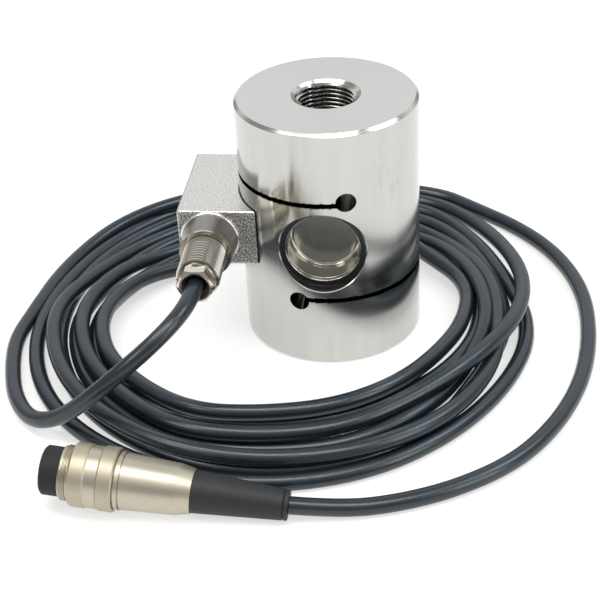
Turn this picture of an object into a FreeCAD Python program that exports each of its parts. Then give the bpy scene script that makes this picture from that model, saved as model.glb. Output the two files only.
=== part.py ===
import FreeCAD
import Part

# Column-shaped S-type load cell: a steel cylinder that two offset slots turn into an S,
# a junction block with a cable gland on its side, a loosely coiled cable and an in-line
# round connector. Millimetres, +Z up, origin at the centre of the column's base face.
# The front is -Y, where the sealing cup and the gland are; the junction block is on -X.

import math
import os

Vector = FreeCAD.Vector

# ---------------------------------------------------------------- driving sizes
# column
BODY_D = 60.0
BODY_H = 85.0
BODY_CHAMFER = 1.0
END_THREAD_D = 20.0        # M20x1.5, modelled at its nominal diameter
END_THREAD_DEPTH = 18.0
END_COUNTERSINK = 1.4
# measuring bore, slots and their relief holes
BORE_D = 28.5
BORE_Z = 42.5
BORE_EDGE_BREAK = 0.3
WEB_T = 4.0
SLOT_W = 1.6
SLOT_OFFSET = 17.6         # slot centre above or below the bore axis
RELIEF_D = 6.5
RELIEF_X = 8.15
RELIEF_OFFSET = 18.5
# sealing cups
CUP_SHEET = 0.6
CUP_SKIRT = 3.0
CUP_LIP_W = 2.25
CUP_STEP_W = 0.4
CUP_STEP_DEPTH = 1.0
CUP_DEPTH = 9.4
CUP_FLOOR_R = 1.8
CUP_SET_BACK = 0.15
PRESS_GAP = 0.02
# strain gauges and their solder terminals on the web
GAUGE_L = 6.0
GAUGE_W = 4.0
GAUGE_T = 0.1
GAUGE_X = 4.0
GAUGE_RISE = 2.0
TERMINAL_L = 5.0
TERMINAL_W = 3.0
TERMINAL_T = 0.2
TERMINAL_X = -9.8
# wires between the web and the board
WIRE_D = 0.6
WIRE_PITCH = 0.8
WIRE_COUNT = 3
WIRE_HOLE_D = 3.0
WIRE_HOLE_Y = 6.0
WIRE_HOLE_DROP = 4.0
WIRE_LIFT = 1.5            # how far the wires stand off the board's face
WIRE_LAND = 1.0            # solder points above the board's lower edge
# junction block
BLOCK_STANDOFF = 18.3      # column's surface to the block's outer face
BLOCK_W = 41.0
BLOCK_H = 20.0
BLOCK_EDGE_R = 0.8
BLOCK_SIDE_WALL = 2.5
BLOCK_END_WALL = 4.5
BLOCK_FLOOR = 4.0          # thickness left between the cavity and the column at its thinnest
GASKET_T = 0.4
GASKET_INSET = 0.4
# block screws, M3 socket head
BLOCK_SCREW_D = 3.0
BLOCK_SCREW_HEAD_D = 5.5
BLOCK_SCREW_HEAD_H = 3.0
BLOCK_SCREW_KEY = 2.5
BLOCK_SCREW_L = 12.0
BLOCK_SCREW_INSET = 1.25   # screw heads to the cavity's end walls
BLOCK_SCREW_MARGIN = 0.25  # screw heads to the cavity's top and bottom walls
SCREW_GAP = 0.2            # radial, screws in clearance holes
# cover of the block and its M2 countersunk screws
COVER_T = 1.5
COVER_MARGIN = 0.8
COVER_GAP = 0.1
COVER_SCREW_D = 2.0
COVER_SCREW_HEAD_D = 3.6
COVER_SCREW_L = 5.0
COVER_SCREW_INSET = 2.3    # from the cover's edges to the screw axes
DRIVE_SLOT_W = 0.5
DRIVE_SLOT_DEPTH = 0.6
# compensation board
BOARD_SCREW_GAP = 0.75     # board's ends to the screw heads
BOARD_W = 7.5
BOARD_T = 1.0
PAD_T = 1.0
CHIP_L = 3.2
CHIP_W = 1.6
CHIP_T = 0.6
CHIP_PITCH = 3.0
CHIP_COUNT = 4
# cable gland
GLAND_CABLE_RISE = 0.6     # cable above the cavity's floor
SPIGOT_D = 12.0
BOSS_BASE_D = 18.7
BOSS_TOP_D = 16.8
BOSS_L = 9.4
RIM_D = 17.1
RIM_L = 0.8
BARREL_D = 14.0
BARREL_L = 16.3
BARREL_PITCH = 1.5
BARREL_THREAD_H = 0.92
BARREL_BORE_D = 10.0
BARREL_BORE_L = 14.0
ENTRY_HOLE_D = 6.4
ORING_SECTION_D = 1.2
ORING_MEAN_D = 14.8
BUSH_L = 6.0
BUSH_CHAMFER = 0.8
WASHER_T = 0.8
WASHER_GAP = 0.2           # radial, washer to barrel and to cable
GLAND_HEX = 11.0
GLAND_HEX_L = 4.0
GLAND_MOUTH_D = 8.2
GLAND_MOUTH_R = 0.5
GLAND_THROAT_D = 6.2
# cable
CABLE_D = 5.4
CORE_D = 0.9
CORE_COUNT = 4
CORE_SPREAD = 1.0          # core axes from the cable axis
CORE_FAN = 1.5             # spacing of the cores on the board
CORE_LIFT = 2.0            # first and last straight run of each core
CABLE_STUB = 1.0           # sheath that stands into the block's cavity
CABLE_GAP = 0.02
# coil: the space that the loose turns fill, as corners that the outlines go round inside
COIL_H = 11.5
COIL_EDGE = 2.5            # slope at the top of the outer turns
COIL_POCKET_GAP = 1.6
COIL_POCKET_L = 40.0
COIL_OUTSIDE = [(-104, -6), (-100.5, -38), (-89, -63), (-70, -82), (-44, -95), (-12, -101),
                (20, -98), (48, -78), (66, -48), (74, -12), (72, 26), (60, 62), (36, 86),
                (2, 98), (-34, 98), (-68, 85), (-95, 58), (-104.5, 28)]
COIL_INSIDE = [(-79, -24), (-70, -48), (-48, -64), (-20, -68), (8, -63), (30, -45),
               (45, -18), (48, 8), (37, 31), (12, 42), (-18, 43), (-47, 35), (-70, 13)]
# free lead from the gland over the coil to its outermost turn, after the gland's mouth
LEAD_ROUTE = [(-37.7, -61.0, 42.5), (-40.2, -70.4, 40.3), (-45.0, -78.3, 36.5),
              (-51.6, -83.8, 31.3), (-60.0, -86.0, 25.0), (-70.5, -84.5, 17.5),
              (-84.0, -78.0, 9.0), (-96.5, -66.5, 3.2), (-103.0, -51.0, CABLE_D / 2),
              (-106.9, -33.5, CABLE_D / 2), (-108.2, -15.0, CABLE_D / 2),
              (-106.2, 3.0, CABLE_D / 2), (-100.0, 19.5, CABLE_D / 2)]
# free tail from the coil's back towards the connector
TAIL_ROUTE = [(49.0, 70.0, CABLE_D / 2), (66.5, 56.5, CABLE_D / 2),
              (79.5, 37.5, CABLE_D / 2), (86.5, 14.0, CABLE_D / 2),
              (88.0, -12.0, CABLE_D / 2), (84.0, -38.0, CABLE_D / 2),
              (76.0, -61.5, CABLE_D / 2), (63.0, -81.5, CABLE_D / 2),
              (45.0, -95.0, CABLE_D / 2), (27.0, -103.5, CABLE_D / 2)]
TAIL_LAST_RUN = 15.0       # in line with the connector
# connector, lengths from its front to its back
BOOT_END_X = -3.6
BOOT_END_Y = -108.0
CONNECTOR_YAW = -2.9       # degrees from +X of the direction front to back
INSERT_D = 14.8
INSERT_PROUD = 5.8
INSERT_EDGE_R = 0.6
COUPLING_D = 16.0          # M16x0.75
COUPLING_L = 3.3
BAND_D = 19.2
BAND_L = 4.9
BAND_CHAMFER = 0.4
GROOVE_D = 18.6
GROOVE_L = 3.6
RING_D = 19.3
RING_L = 4.8
NECK_D = 17.4
NECK_L = 2.0
NECK_GROOVE_W = 0.4
NECK_GROOVE_DEPTH = 0.6
SHELL_FRONT_D = 17.0
SHELL_BACK_D = 15.25
SHELL_L = 16.4
SHELL_TIP_D = 13.3
SHELL_CONE_L = 4.2
SHELL_WALL = 1.2
SHELL_SOCKET_L = 2.0       # shell's nose inside the sleeve
BOOT_FRONT_D = 12.8
BOOT_END_D = 9.1
BOOT_L = 28.3
BOOT_COLLAR_L = 1.6
BOOT_NECK_D = 8.6
BOOT_NECK_L = 3.0
CLAMP_L = 6.0
CLAMP_SLIT = 1.2
CONTACT_D = 1.8
CONTACT_BORE_D = 1.0
CONTACT_COUNT = 5
CONTACT_CIRCLE_D = 7.6
CONTACT_L = 15.0
CONTACT_SET_BACK = 0.8
STRIPPED_L = 12.0          # cores between the sheath's end and the contacts

# ---------------------------------------------------------------- derived places
BODY_R = BODY_D / 2
BORE_R = BORE_D / 2
BLOCK_REACH = BODY_R + BLOCK_STANDOFF
BLOCK_MOUNT_R = BODY_R + GASKET_T
BLOCK_FRONT_Y = -BLOCK_W / 2
CAVITY_FLOOR_X = -(BLOCK_MOUNT_R + BLOCK_FLOOR)
CAVITY_W = BLOCK_W - 2 * BLOCK_END_WALL
CAVITY_H = BLOCK_H - 2 * BLOCK_SIDE_WALL
# front screw below, rear screw above the block's middle by the offset
BLOCK_SCREW_Y = CAVITY_W / 2 - BLOCK_SCREW_INSET - BLOCK_SCREW_HEAD_D / 2
BLOCK_SCREW_OFFSET = CAVITY_H / 2 - BLOCK_SCREW_MARGIN - BLOCK_SCREW_HEAD_D / 2
BOARD_L = 2 * (BLOCK_SCREW_Y - BLOCK_SCREW_HEAD_D / 2 - BOARD_SCREW_GAP)
WIRE_Z = BORE_Z - WIRE_HOLE_DROP
BOARD_TOP_Z = BORE_Z + CAVITY_H / 2 - 0.5
BOARD_FACE_X = CAVITY_FLOOR_X - PAD_T - BOARD_T
GLAND_X = CAVITY_FLOOR_X - GLAND_CABLE_RISE - CABLE_D / 2
GLAND_ORIGIN = Vector(GLAND_X, BLOCK_FRONT_Y, BORE_Z)
BARREL_START = BOSS_L + RIM_L
BARREL_END = BARREL_START + BARREL_L
BUSH_START = BARREL_END - BARREL_BORE_L
WASHER_START = BUSH_START + BUSH_L
SCREW_START = WASHER_START + WASHER_T
GLAND_END = BARREL_END + GLAND_HEX_L

SLEEVE_START = INSERT_PROUD
BAND_START = SLEEVE_START + COUPLING_L
GROOVE_START = BAND_START + BAND_L
RING_START = GROOVE_START + GROOVE_L
SHELL_NOSE_START = RING_START - SHELL_SOCKET_L
NECK_START = RING_START + RING_L
SHELL_START = NECK_START + NECK_L
CONE_START = SHELL_START + SHELL_L
BOOT_START = CONE_START + SHELL_CONE_L
CONNECTOR_L = BOOT_START + BOOT_L
# the connector lies on its ring's back edge and on the end of its boot
CONNECTOR_TILT = math.atan2((RING_D - BOOT_END_D) / 2, CONNECTOR_L - NECK_START)
YAW = math.radians(CONNECTOR_YAW)
CONNECTOR_AXIS = Vector(math.cos(YAW) * math.cos(CONNECTOR_TILT),
                        math.sin(YAW) * math.cos(CONNECTOR_TILT),
                        -math.sin(CONNECTOR_TILT))
BOOT_END = Vector(BOOT_END_X, BOOT_END_Y, BOOT_END_D / 2 * math.cos(CONNECTOR_TILT))
CONNECTOR_FRONT = BOOT_END - CONNECTOR_AXIS * CONNECTOR_L


# ---------------------------------------------------------------- tools
def on_axis(origin, direction):
    """Placement that puts a lathe's +Z on an axis."""
    return FreeCAD.Placement(origin, FreeCAD.Rotation(Vector(0, 0, 1), direction))


UPRIGHT = on_axis(Vector(0, 0, 0), Vector(0, 0, 1))
GLAND = on_axis(GLAND_ORIGIN, Vector(0, -1, 0))
CONNECTOR = on_axis(CONNECTOR_FRONT, CONNECTOR_AXIS)


def turned(profile, place=UPRIGHT):
    """Solid of revolution from (radius, along) corners."""
    corners = [Vector(radius, 0, along) for radius, along in profile]
    face = Part.Face(Part.makePolygon(corners + corners[:1]))
    solid = face.revolve(Vector(0, 0, 0), Vector(0, 0, 1), 360)
    return placed(solid, place)


def placed(shape, place):
    copy = shape.copy()
    copy.Placement = place.multiply(copy.Placement)
    return copy


def rod(diameter, start, end, place=UPRIGHT, x=0.0, y=0.0):
    """Cylinder along an axis from start to end, beside it by x and y."""
    solid = Part.makeCylinder(diameter / 2, end - start, Vector(x, y, start))
    return placed(solid, place)


def block_between(low, high):
    """Box from its lowest to its highest corner."""
    size = Vector(*high) - Vector(*low)
    return Part.makeBox(size.x, size.y, size.z, Vector(*low))


def hexagon(across_flats, start, end, place=UPRIGHT):
    radius = across_flats / math.sqrt(3)
    corners = [Vector(radius * math.cos(math.radians(60 * i)),
                      radius * math.sin(math.radians(60 * i)), start) for i in range(7)]
    solid = Part.Face(Part.makePolygon(corners)).extrude(Vector(0, 0, end - start))
    return placed(solid, place)


def corner_arcs(points, closed=False):
    """Straight runs joined by tangent arcs, each as large as its two runs allow."""
    count = len(points)
    corners = range(count) if closed else range(1, count - 1)
    cuts = {}
    radii = []
    for i in corners:
        before, here, after = points[i - 1], points[i], points[(i + 1) % count]
        to_before = (before - here).normalize()
        to_after = (after - here).normalize()
        half_turn = (math.pi - to_before.getAngle(to_after)) / 2
        setback = 0.45 * min(before.distanceToPoint(here), after.distanceToPoint(here))
        radius = setback / math.tan(half_turn)
        inward = (to_before + to_after).normalize()
        middle = here + inward * (radius / math.cos(half_turn) - radius)
        cuts[i] = (here + to_before * setback, middle, here + to_after * setback)
        radii.append(radius)
    edges = []
    for i in range(count if closed else count - 1):
        start = cuts[i][2] if i in cuts else points[i]
        following = (i + 1) % count
        end = cuts[following][0] if following in cuts else points[following]
        edges.append(Part.LineSegment(start, end).toShape())
        if following in cuts:
            edges.append(Part.Arc(*cuts[following]).toShape())
    return Part.Wire(edges), radii


def tube_along(points, diameter):
    """Round bar along a route of points."""
    path, radii = corner_arcs(points)
    section = Part.Wire(Part.makeCircle(diameter / 2, points[0], points[1] - points[0]))
    return path.makePipeShell([section], True, False), path.Length, radii


def mirrored_to_rear(shape):
    return shape.mirror(Vector(0, 0, 0), Vector(0, 1, 0))


def ring_of(count, radius, turn=0.0):
    """Points evenly spaced on a circle round an axis."""
    angles = [math.radians(turn + 360.0 * i / count) for i in range(count)]
    return [(radius * math.cos(a), radius * math.sin(a)) for a in angles]


def cable_points(route):
    return [Vector(*point) for point in route]


# ---------------------------------------------------------------- column
def end_thread():
    """Threaded hole of an end face, opening at z = 0 and running up."""
    radius = END_THREAD_D / 2
    return turned([(0, -1), (radius + END_COUNTERSINK + 1, -1), (radius, END_COUNTERSINK),
                   (radius, END_THREAD_DEPTH), (0, END_THREAD_DEPTH)])


def along_y(diameter, x, z, low=-BODY_R - 1, high=BODY_R + 1):
    return Part.makeCylinder(diameter / 2, high - low, Vector(x, low, z), Vector(0, 1, 0))


def along_x(diameter, y, z, low, high):
    return Part.makeCylinder(diameter / 2, high - low, Vector(low, y, z), Vector(1, 0, 0))


def slot_and_relief(side):
    """Slot of the S: side +1 is the upper one, open on -X; -1 the lower, open on +X."""
    hole_x = side * RELIEF_X
    middle = BORE_Z + side * SLOT_OFFSET
    open_end = -side * (BODY_R + 1)
    slot = block_between((min(hole_x, open_end), -BODY_R - 1, middle - SLOT_W / 2),
                         (max(hole_x, open_end), BODY_R + 1, middle + SLOT_W / 2))
    return [slot, along_y(RELIEF_D, hole_x, BORE_Z + side * RELIEF_OFFSET)]


def load_body():
    rim = BODY_R - BODY_CHAMFER
    column = turned([(0, 0), (rim, 0), (BODY_R, BODY_CHAMFER),
                     (BODY_R, BODY_H - BODY_CHAMFER), (rim, BODY_H), (0, BODY_H)])
    pockets = [along_y(BORE_D, 0, BORE_Z, -BODY_R - 1, -WEB_T / 2),
               along_y(BORE_D, 0, BORE_Z, WEB_T / 2, BODY_R + 1)]
    column = column.cut(pockets)
    mouths = [edge for edge in column.Edges
              if edge.BoundBox.ZLength > BORE_D * 0.9 and abs(edge.CenterOfMass.y) > BODY_R / 2
              and edge.BoundBox.ZLength < BORE_D * 1.1]
    column = column.makeChamfer(BORE_EDGE_BREAK, mouths)
    base_hole = end_thread()
    top_hole = base_hole.mirror(Vector(0, 0, BODY_H / 2), Vector(0, 0, 1))
    holes = [base_hole, top_hole] + slot_and_relief(1) + slot_and_relief(-1)
    for side in (-1, 1):
        holes.append(along_x(WIRE_HOLE_D, side * WIRE_HOLE_Y, WIRE_Z, -BODY_R - 1, -BORE_R + 3))
        holes.append(along_x(BLOCK_SCREW_D, side * BLOCK_SCREW_Y,
                             BORE_Z + side * BLOCK_SCREW_OFFSET, -BODY_R - 1,
                             CAVITY_FLOOR_X + BLOCK_SCREW_L))
    return column.cut(holes)


# ---------------------------------------------------------------- sealing cups
def front_cup():
    """Pressed cup: skirt on the bore wall, flat lip, small step, recessed floor."""
    outer = BORE_R - PRESS_GAP
    lip = BORE_R - CUP_LIP_W
    wall = lip - CUP_STEP_W
    face_y = math.sqrt(BODY_R ** 2 - BORE_R ** 2) - CUP_SET_BACK
    place = on_axis(Vector(0, -face_y, BORE_Z), Vector(0, 1, 0))
    cup = turned([(outer, CUP_SKIRT), (outer, 0), (lip, 0), (lip, CUP_STEP_DEPTH),
                  (wall, CUP_STEP_DEPTH), (wall, CUP_DEPTH - CUP_SHEET),
                  (0, CUP_DEPTH - CUP_SHEET), (0, CUP_DEPTH), (wall + CUP_SHEET, CUP_DEPTH),
                  (wall + CUP_SHEET, CUP_STEP_DEPTH + CUP_SHEET),
                  (lip + CUP_SHEET, CUP_STEP_DEPTH + CUP_SHEET),
                  (lip + CUP_SHEET, CUP_SHEET), (outer - CUP_SHEET, CUP_SHEET),
                  (outer - CUP_SHEET, CUP_SKIRT)])

    def circles(radius, along):
        return [edge for edge in cup.Edges
                if abs(edge.BoundBox.XLength / 2 - radius) < 0.01
                and abs(edge.BoundBox.Center.z - along) < 0.01
                and edge.BoundBox.ZLength < 0.01]

    cup = cup.makeFillet(CUP_FLOOR_R, circles(wall + CUP_SHEET, CUP_DEPTH))
    cup = cup.makeFillet(CUP_FLOOR_R - CUP_SHEET, circles(wall, CUP_DEPTH - CUP_SHEET))
    cup = cup.makeFillet(CUP_STEP_W / 2, circles(wall, CUP_STEP_DEPTH))
    cup = cup.makeFillet(CUP_SHEET / 2, circles(lip, 0) + circles(outer, 0))
    return placed(cup, place)


# ---------------------------------------------------------------- bridge on the web
def gauge(side):
    """Foil gauge on the front of the web, at 45 degrees to the column's axis."""
    foil = block_between((-GAUGE_L / 2, -WEB_T / 2 - GAUGE_T, -GAUGE_W / 2),
                         (GAUGE_L / 2, -WEB_T / 2, GAUGE_W / 2))
    foil.rotate(Vector(0, 0, 0), Vector(0, 1, 0), side * 45)
    foil.translate(Vector(side * GAUGE_X, 0, BORE_Z + GAUGE_RISE))
    return foil


def terminal():
    return block_between(
        (TERMINAL_X - TERMINAL_W / 2, -WEB_T / 2 - TERMINAL_T, WIRE_Z - TERMINAL_L / 2),
        (TERMINAL_X + TERMINAL_W / 2, -WEB_T / 2, WIRE_Z + TERMINAL_L / 2))


def bridge_wires():
    """Wires from the front terminal through the column and the block to the board."""
    wires = []
    face_y = -WEB_T / 2 - TERMINAL_T
    lift_x = BOARD_FACE_X - WIRE_LIFT
    land_z = BOARD_TOP_Z - BOARD_W + WIRE_LAND
    for i in range(WIRE_COUNT):
        step = (i - (WIRE_COUNT - 1) / 2) * WIRE_PITCH
        x = TERMINAL_X + step
        y = -WIRE_HOLE_Y - step
        route = [(x, face_y, WIRE_Z), (x, y, WIRE_Z), (lift_x, y, WIRE_Z), (lift_x, y, land_z),
                 (BOARD_FACE_X, y, land_z)]
        wires.append(tube_along(cable_points(route), WIRE_D)[0])
    return Part.makeCompound(wires)


# ---------------------------------------------------------------- junction block
def block_holes(low_x, high_x, screw_gap):
    """Screw and wire holes through the block's floor or the gasket."""
    holes = []
    for side in (-1, 1):
        holes.append(along_x(BLOCK_SCREW_D + 2 * screw_gap, side * BLOCK_SCREW_Y,
                             BORE_Z + side * BLOCK_SCREW_OFFSET, low_x, high_x))
        holes.append(along_x(WIRE_HOLE_D, side * WIRE_HOLE_Y, WIRE_Z, low_x, high_x))
    return holes


def cover_half_sizes():
    return BLOCK_W / 2 - COVER_MARGIN - COVER_GAP, BLOCK_H / 2 - COVER_MARGIN - COVER_GAP


def cover_screw_places():
    half_w, half_h = cover_half_sizes()
    y = half_w - COVER_SCREW_INSET
    z = half_h - COVER_SCREW_INSET
    origins = [Vector(-BLOCK_REACH, sy * y, BORE_Z + sz * z) for sy in (-1, 1) for sz in (-1, 1)]
    return [on_axis(origin, Vector(1, 0, 0)) for origin in origins]


def countersunk(diameter, head_diameter, length):
    """Screw or screw hole with its head's face at 0 and its tip at length."""
    cone = (head_diameter - diameter) / 2
    return [(0, 0), (head_diameter / 2, 0), (diameter / 2, cone), (diameter / 2, length),
            (0, length)]


def junction_block():
    low = (-BLOCK_REACH, -BLOCK_W / 2, BORE_Z - BLOCK_H / 2)
    high = (0, BLOCK_W / 2, BORE_Z + BLOCK_H / 2)
    block = block_between(low, high)
    outside = [edge for edge in block.Edges if edge.BoundBox.Center.x < -0.01]
    block = block.makeFillet(BLOCK_EDGE_R, outside)
    block = block.cut(Part.makeCylinder(BLOCK_MOUNT_R, BODY_H))
    half_w, half_h = cover_half_sizes()
    recess = block_between(
        (-BLOCK_REACH - 1, -half_w - COVER_GAP, BORE_Z - half_h - COVER_GAP),
        (-BLOCK_REACH + COVER_T, half_w + COVER_GAP, BORE_Z + half_h + COVER_GAP))
    cavity = block_between(
        (-BLOCK_REACH, -CAVITY_W / 2, BORE_Z - CAVITY_H / 2),
        (CAVITY_FLOOR_X, CAVITY_W / 2, BORE_Z + CAVITY_H / 2))
    cuts = [recess, cavity] + block_holes(CAVITY_FLOOR_X - 1, 0, SCREW_GAP)
    cuts.append(rod(SPIGOT_D, -BLOCK_END_WALL - 1, 1, GLAND))
    cuts += [rod(COVER_SCREW_D, 0, COVER_SCREW_L, place) for place in cover_screw_places()]
    return block.cut(cuts)


def block_gasket():
    low = (-BODY_R, -BLOCK_W / 2 + GASKET_INSET, BORE_Z - BLOCK_H / 2 + GASKET_INSET)
    high = (0, BLOCK_W / 2 - GASKET_INSET, BORE_Z + BLOCK_H / 2 - GASKET_INSET)
    sleeve = Part.makeCylinder(BLOCK_MOUNT_R, BODY_H).cut(Part.makeCylinder(BODY_R, BODY_H))
    low = (-BLOCK_MOUNT_R - 1,) + low[1:]
    return sleeve.common(block_between(low, high)).cut(block_holes(-BODY_R - 2, 0, SCREW_GAP))


def block_screws():
    """Socket head screws from the cavity's floor into the column."""
    screws = []
    for side in (-1, 1):
        origin = Vector(CAVITY_FLOOR_X, side * BLOCK_SCREW_Y, BORE_Z + side * BLOCK_SCREW_OFFSET)
        place = on_axis(origin, Vector(1, 0, 0))
        screw = turned([(0, -BLOCK_SCREW_HEAD_H), (BLOCK_SCREW_HEAD_D / 2, -BLOCK_SCREW_HEAD_H),
                        (BLOCK_SCREW_HEAD_D / 2, 0), (BLOCK_SCREW_D / 2, 0),
                        (BLOCK_SCREW_D / 2, BLOCK_SCREW_L), (0, BLOCK_SCREW_L)], place)
        key = hexagon(BLOCK_SCREW_KEY, -BLOCK_SCREW_HEAD_H - 1, -BLOCK_SCREW_HEAD_H / 2, place)
        screws.append(screw.cut(key))
    return Part.makeCompound(screws)


def block_cover():
    half_w, half_h = cover_half_sizes()
    cover = block_between((-BLOCK_REACH, -half_w, BORE_Z - half_h),
                          (-BLOCK_REACH + COVER_T, half_w, BORE_Z + half_h))
    profile = countersunk(COVER_SCREW_D, COVER_SCREW_HEAD_D, COVER_T + 1)
    return cover.cut([turned(profile, place) for place in cover_screw_places()])


def cover_screws():
    screws = []
    for place in cover_screw_places():
        screw = turned(countersunk(COVER_SCREW_D, COVER_SCREW_HEAD_D, COVER_SCREW_L), place)
        slot = block_between((-COVER_SCREW_HEAD_D, -DRIVE_SLOT_W / 2, -1),
                             (COVER_SCREW_HEAD_D, DRIVE_SLOT_W / 2, DRIVE_SLOT_DEPTH))
        screws.append(screw.cut(placed(slot, place)))
    return Part.makeCompound(screws)


# ---------------------------------------------------------------- compensation board
def board_pad():
    return block_between((CAVITY_FLOOR_X - PAD_T, -BOARD_L / 2, BOARD_TOP_Z - BOARD_W),
                         (CAVITY_FLOOR_X, BOARD_L / 2, BOARD_TOP_Z))


def compensation_board():
    return block_between((BOARD_FACE_X, -BOARD_L / 2, BOARD_TOP_Z - BOARD_W),
                         (BOARD_FACE_X + BOARD_T, BOARD_L / 2, BOARD_TOP_Z))


def board_resistors():
    chips = []
    middle_z = BOARD_TOP_Z - BOARD_W / 2 + 0.6
    for i in range(CHIP_COUNT):
        y = (i - (CHIP_COUNT - 1) / 2) * CHIP_PITCH
        chips.append(block_between((BOARD_FACE_X - CHIP_T, y - CHIP_W / 2, middle_z - CHIP_L / 2),
                                   (BOARD_FACE_X, y + CHIP_W / 2, middle_z + CHIP_L / 2)))
    return Part.makeCompound(chips)


# ---------------------------------------------------------------- gland
def gland_body():
    """Fitting screwed into the block: spigot, tapered boss, rim and threaded barrel."""
    crest = BARREL_D / 2
    root = crest - BARREL_THREAD_H
    outline = [(ENTRY_HOLE_D / 2, -BLOCK_END_WALL), (SPIGOT_D / 2, -BLOCK_END_WALL),
               (SPIGOT_D / 2, 0), (BOSS_BASE_D / 2, 0), (BOSS_TOP_D / 2, BOSS_L),
               (RIM_D / 2, BOSS_L), (RIM_D / 2, BOSS_L + RIM_L), (root, BOSS_L + RIM_L)]
    turns = int(BARREL_L / BARREL_PITCH)
    for i in range(turns):
        start = BARREL_START + i * BARREL_PITCH
        outline += [(root, start + 0.2), (crest, start + BARREL_PITCH / 2 - 0.05),
                    (crest, start + BARREL_PITCH / 2 + 0.25), (root, start + BARREL_PITCH)]
    outline += [(root, BARREL_END - 0.3), (root - 0.3, BARREL_END),
                (BARREL_BORE_D / 2, BARREL_END), (BARREL_BORE_D / 2, BUSH_START),
                (ENTRY_HOLE_D / 2, BUSH_START)]
    groove = turned([(ORING_MEAN_D / 2 - ORING_SECTION_D / 2, 0),
                     (ORING_MEAN_D / 2 + ORING_SECTION_D / 2, 0),
                     (ORING_MEAN_D / 2 + ORING_SECTION_D / 2, ORING_SECTION_D),
                     (ORING_MEAN_D / 2 - ORING_SECTION_D / 2, ORING_SECTION_D)], GLAND)
    return turned(outline, GLAND).cut(groove)


def gland_oring():
    ring = Part.makeTorus(ORING_MEAN_D / 2, ORING_SECTION_D / 2, Vector(0, 0, ORING_SECTION_D / 2))
    return placed(ring, GLAND)


def gland_bush():
    outer = BARREL_BORE_D / 2 - PRESS_GAP
    inner = CABLE_D / 2 + CABLE_GAP
    end = BUSH_START + BUSH_L
    return turned([(inner, BUSH_START), (outer, BUSH_START), (outer, end - BUSH_CHAMFER),
                   (outer - BUSH_CHAMFER, end), (inner, end)], GLAND)


def gland_washer():
    outer = BARREL_BORE_D / 2 - WASHER_GAP
    inner = CABLE_D / 2 + WASHER_GAP
    return turned([(inner, WASHER_START), (outer, WASHER_START), (outer, SCREW_START),
                   (inner, SCREW_START)], GLAND)


def gland_screw():
    """Pressure screw: shank in the barrel, chamfered hexagon outside, rounded mouth."""
    shank = BARREL_BORE_D / 2 - PRESS_GAP
    throat = GLAND_THROAT_D / 2
    mouth = GLAND_MOUTH_D / 2
    flare = GLAND_END - (mouth - throat) * 1.5
    corner = GLAND_HEX / math.sqrt(3)
    face = mouth + GLAND_MOUTH_R * 2
    stem = turned([(throat, SCREW_START), (shank, SCREW_START), (shank, BARREL_END),
                   (throat, BARREL_END)], GLAND)
    slope = (corner - face) * 0.6
    envelope = turned([(0, BARREL_END), (corner - 0.3, BARREL_END), (corner, BARREL_END + 0.3),
                       (corner, GLAND_END - slope), (face, GLAND_END), (0, GLAND_END)], GLAND)
    head = hexagon(GLAND_HEX, BARREL_END, GLAND_END, GLAND).common(envelope)
    bore = turned([(0, SCREW_START - 1), (throat, SCREW_START - 1), (throat, flare),
                   (mouth, GLAND_END - GLAND_MOUTH_R),
                   (mouth + GLAND_MOUTH_R, GLAND_END + 0.01), (0, GLAND_END + 0.01)], GLAND)
    return head.fuse(stem).cut(bore).removeSplitter()


# ---------------------------------------------------------------- cable
def cable_entry():
    """Sheathed cable held inside the gland, up to its stripped end in the block."""
    return rod(CABLE_D, -BLOCK_END_WALL - CABLE_STUB, GLAND_END, GLAND)


def cable_cores():
    """Cores from the stripped sheath to the board."""
    cores = []
    start_y = BLOCK_FRONT_Y + BLOCK_END_WALL + CABLE_STUB
    land_y = -BOARD_L / 2 + CORE_D
    lift_x = BOARD_FACE_X - CORE_LIFT
    for i, (dx, dz) in enumerate(ring_of(CORE_COUNT, CORE_SPREAD, 45)):
        x = GLAND_X + dx
        z = BORE_Z + dz
        land_z = BOARD_TOP_Z - BOARD_W / 2 + ((CORE_COUNT - 1) / 2 - i) * CORE_FAN
        route = [(x, start_y, z), (x, start_y + CORE_LIFT, z), (lift_x, land_y, land_z),
                 (BOARD_FACE_X, land_y, land_z)]
        cores.append(tube_along(cable_points(route), CORE_D)[0])
    return Part.makeCompound(cores)


def cable_lead():
    mouth = GLAND_ORIGIN + Vector(0, -GLAND_END, 0)
    return tube_along([mouth] + cable_points(LEAD_ROUTE), CABLE_D)


def cable_tail():
    before_boot = BOOT_END + CONNECTOR_AXIS * TAIL_LAST_RUN
    return tube_along(cable_points(TAIL_ROUTE) + [before_boot, BOOT_END], CABLE_D)


def coil_outline(corners):
    points = [Vector(x, y, 0) for x, y in corners]
    return corner_arcs(points, closed=True)[0]


def cable_pocket(end, before):
    """Straight-sided pocket in the coil, whose end wall the cable's end face meets."""
    along = (before - end).normalize()
    half = CABLE_D / 2 + COIL_POCKET_GAP
    pocket = Part.makeBox(2 * half, CABLE_D + 2 * half, COIL_POCKET_L, Vector(-half, -half, 0))
    turn = FreeCAD.Rotation(Vector(0, 0, 1).cross(along), Vector(0, 0, -1), along, "ZYX")
    return placed(pocket, FreeCAD.Placement(end, turn))


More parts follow.
